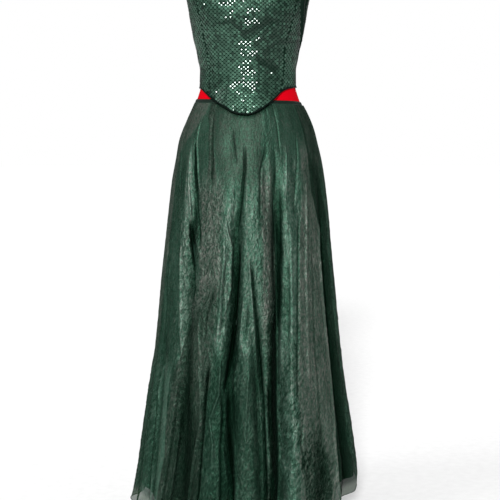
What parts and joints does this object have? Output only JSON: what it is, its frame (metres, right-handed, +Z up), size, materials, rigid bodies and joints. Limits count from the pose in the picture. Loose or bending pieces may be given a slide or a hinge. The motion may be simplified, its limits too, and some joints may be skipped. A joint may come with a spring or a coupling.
{
  "type": "two-piece dance costume on a dress form",
  "caption": "Sleeveless sequinned bodice with a basque point over a floor-length lined organza skirt, worn by a limbless dress form on a pole with a round foot.",
  "frame": {"origin": "centre of the flat underside of the stand's round foot, on the floor below the pole", "axes": "+Z up along the pole, -Y towards the front of the costume, +X towards the wearer's left"},
  "size_m": [0.5842, 0.5642, 1.5943],
  "materials": {
    "sequin_cloth": "dark green stretch cloth set with round green sequins",
    "organza": "crinkled shot organza, green with a grey-brown sheen",
    "lining": "smooth dark green lining satin",
    "waistband": "matt dark green elastic",
    "zip_tape": "woven dark green zip tape",
    "zip_metal": "dark green lacquered metal",
    "form_cover": "plain matt red stretch cover",
    "form_wood": "dark varnished wood",
    "stand_metal": "satin black paint"
  },
  "bodies": {
    "costume": {"bodice_front": "sequin_cloth", "bodice_side_left": "sequin_cloth", "bodice_side_right": "sequin_cloth", "bodice_back": "sequin_cloth", "bodice_strap_left": "sequin_cloth", "bodice_strap_right": "sequin_cloth", "bodice_zip_tape": "zip_tape", "bodice_zip_slider": "zip_metal", "skirt_waistband": "waistband", "skirt_front": "organza", "skirt_side_front_left": "organza", "skirt_side_front_right": "organza", "skirt_side_back_left": "organza", "skirt_side_back_right": "organza", "skirt_back": "organza", "skirt_lining_front": "lining", "skirt_lining_back": "lining", "form_torso": "form_cover", "form_neck_cap": "form_wood", "form_pole": "stand_metal", "form_foot": "stand_metal"},
    "zip_pull": {"bodice_zip_pull": "zip_metal"}
  },
  "joints": [
    {"name": "zip_pull_hinge", "type": "hinge", "parent": "costume", "child": "zip_pull", "pos_m": [0.14915, -0.04725, 1.33916], "axis": [-0.5054, -0.8629, 0], "range_deg": [0, 135]}
  ]
}
